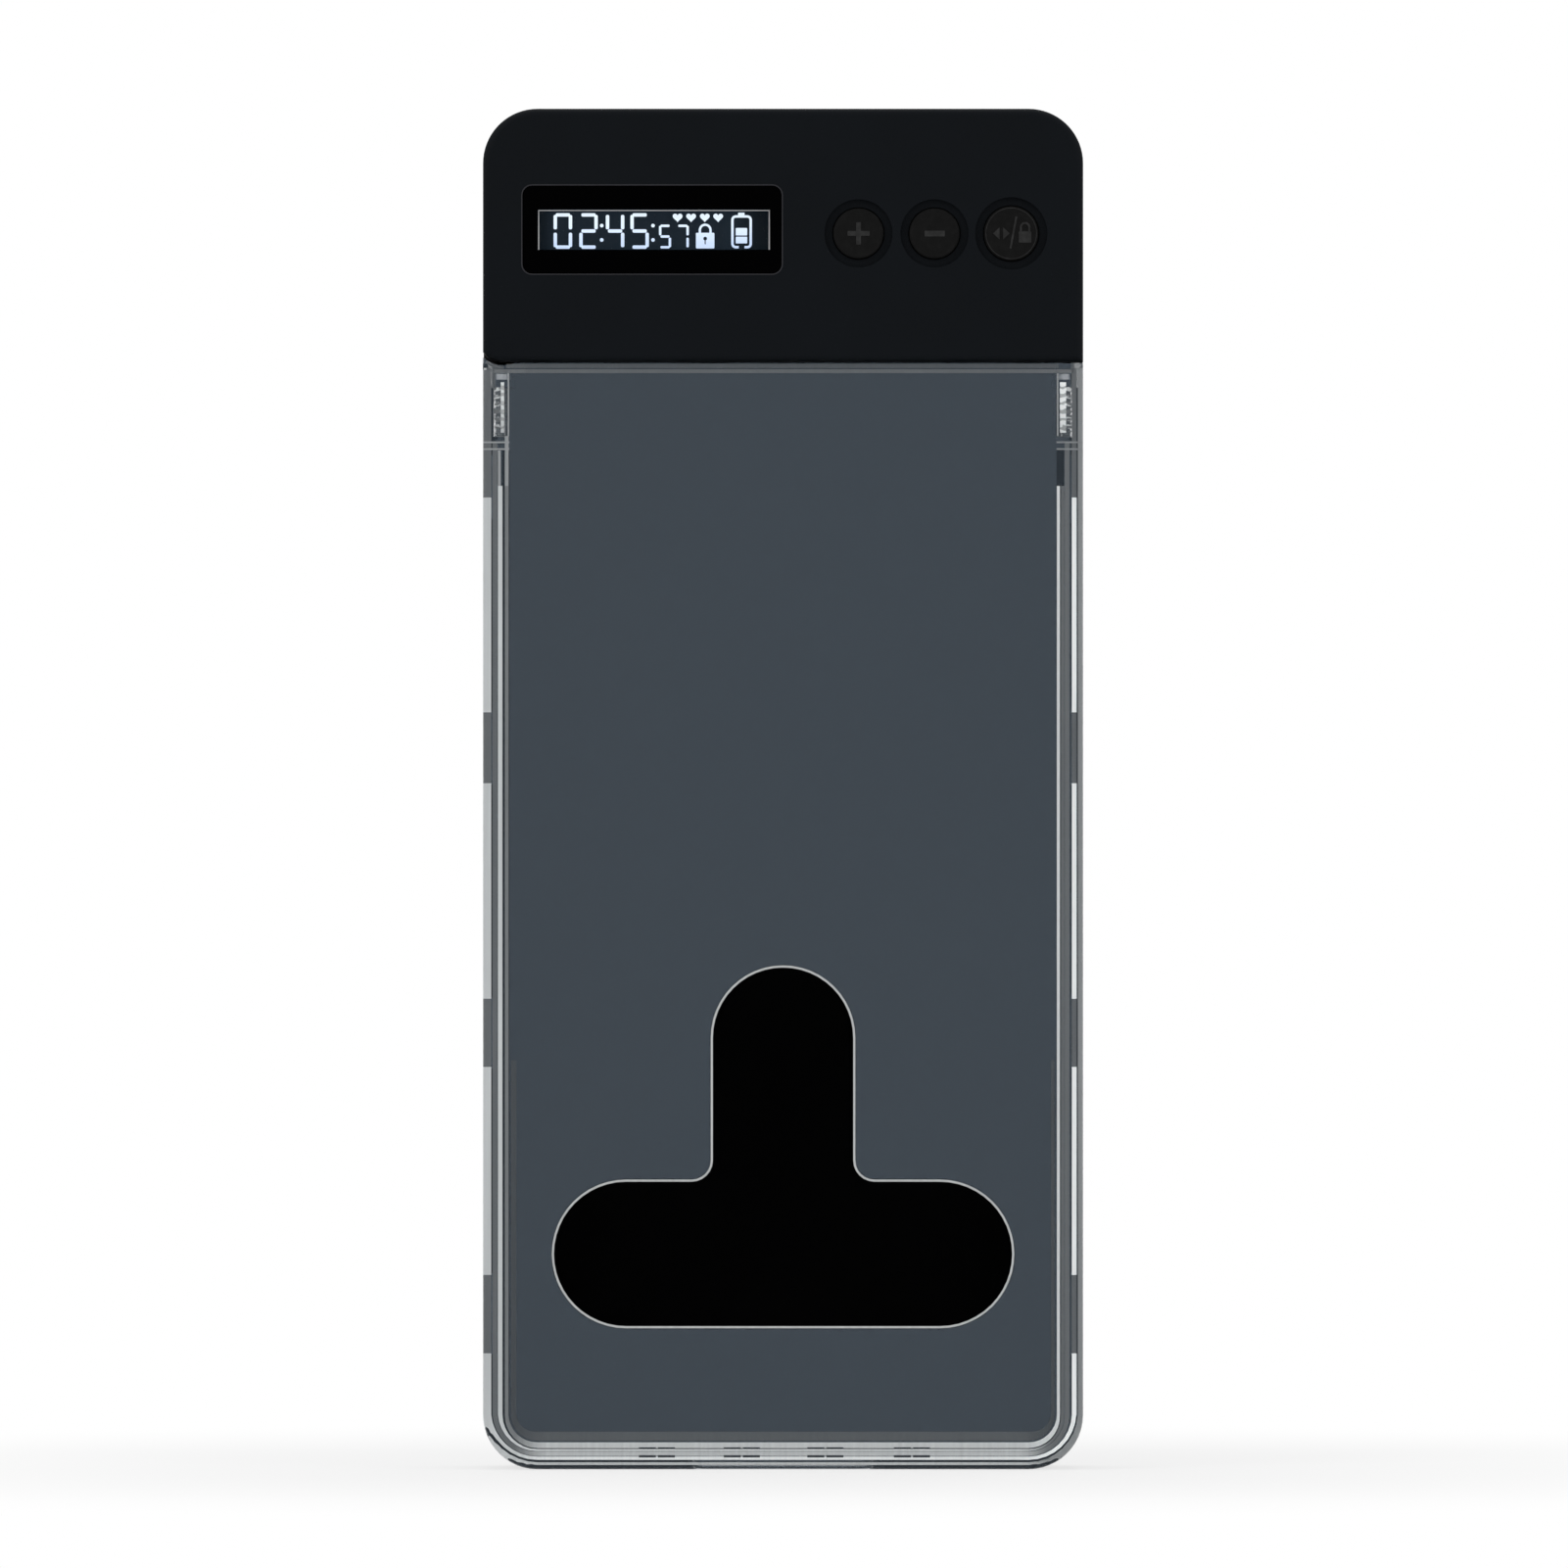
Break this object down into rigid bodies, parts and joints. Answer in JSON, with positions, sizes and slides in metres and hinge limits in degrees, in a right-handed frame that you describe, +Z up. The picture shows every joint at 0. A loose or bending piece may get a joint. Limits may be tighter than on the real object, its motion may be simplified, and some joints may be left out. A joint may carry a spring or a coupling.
{
  "type": "timed lock container",
  "caption": "Phone-sized timed lock case: clear front with a T slot, black tray, hinged head with display and buttons.",
  "frame": {"origin": "under the middle of the base, where the closed case stands on its lower end", "axes": "+X to the right seen from the front, +Y to the back, +Z up to the lock head"},
  "size_m": [0.088, 0.022, 0.1995],
  "materials": {
    "clear_shell": "clear polycarbonate, polished",
    "clear_cradle": "clear polycarbonate, polished",
    "black_tray": "black ABS, fine satin texture",
    "zinc_steel": "bright zinc plated",
    "black_cover": "black ABS, fine matte texture",
    "black_housing": "black ABS, fine matte texture",
    "window_lens": "black acrylic lens, polished",
    "lcd_glass": "negative display glass",
    "white_plastic": "white moulded",
    "board_green": "green solder mask",
    "chip_black": "moulded epoxy",
    "switch_metal": "pressed cover",
    "cell_foil": "laminated foil pouch",
    "foam_pad": "foam",
    "socket_steel": "nickel plated",
    "buzzer_black": "moulded",
    "motor_steel": "drawn can",
    "gear_brass": "cut brass",
    "grey_plastic": "moulded",
    "acetal": "natural acetal",
    "pin_steel": "ground",
    "washer_white": "nylon",
    "dark_screw": "blackened",
    "lead_red": "insulated lead",
    "lead_black": "insulated lead",
    "button_rubber": "black silicone",
    "bolt_steel": "nickel plated"
  },
  "bodies": {
    "case": {"front_shell": "clear_shell", "phone_cradle": "clear_cradle", "rear_tray": "black_tray", "strike_post": "black_tray", "rim_screws": "zinc_steel"},
    "head": {"head_front_cover": "black_cover", "head_housing": "black_housing", "display_window": "window_lens", "lcd_panel": "lcd_glass", "lcd_frame": "white_plastic", "circuit_board": "board_green", "board_chips": "chip_black", "button_switches": "switch_metal", "battery": "cell_foil", "battery_pad": "foam_pad", "usb_socket": "socket_steel", "buzzer": "buzzer_black", "motor": "motor_steel", "gearbox": "gear_brass", "motor_bracket": "grey_plastic", "latch_guide": "acetal", "hinge_pin": "pin_steel", "hinge_washers": "washer_white", "cover_screws": "dark_screw", "board_screws": "zinc_steel", "battery_leads": "lead_red", "motor_leads": "lead_black"},
    "plus_button": {"plus_cap": "button_rubber"},
    "minus_button": {"minus_cap": "button_rubber"},
    "lock_button": {"lock_cap": "button_rubber"},
    "latch": {"latch_slider": "acetal", "latch_bolt": "bolt_steel"},
    "pinion": {"drive_pinion": "gear_brass", "output_shaft": "pin_steel"}
  },
  "joints": [
    {"name": "head_hinge", "type": "hinge", "parent": "case", "child": "head", "pos_m": [-0.041, 0.001, 0.1662], "axis": [0, -1, 0], "range_deg": [0, 90]},
    {"name": "plus_press", "type": "slide", "parent": "head", "child": "plus_button", "axis": [0, 1, 0], "range_m": [0, 0.0005], "stiffness_N_per_m": 400},
    {"name": "minus_press", "type": "slide", "parent": "head", "child": "minus_button", "axis": [0, 1, 0], "range_m": [0, 0.0005], "stiffness_N_per_m": 400},
    {"name": "lock_press", "type": "slide", "parent": "head", "child": "lock_button", "axis": [0, 1, 0], "range_m": [0, 0.0005], "stiffness_N_per_m": 400},
    {"name": "latch_slide", "type": "slide", "parent": "head", "child": "latch", "axis": [1, 0, 0], "range_m": [0, 0.0024]},
    {"name": "pinion_turn", "type": "hinge", "parent": "head", "child": "pinion", "pos_m": [0.031, 0.0035, 0.17], "axis": [0, 0, 1], "range_deg": [0, 46]}
  ],
  "couplings": [
    {"joint": "pinion_turn", "follows": "latch_slide", "rad_per_m": 333.33}
  ]
}
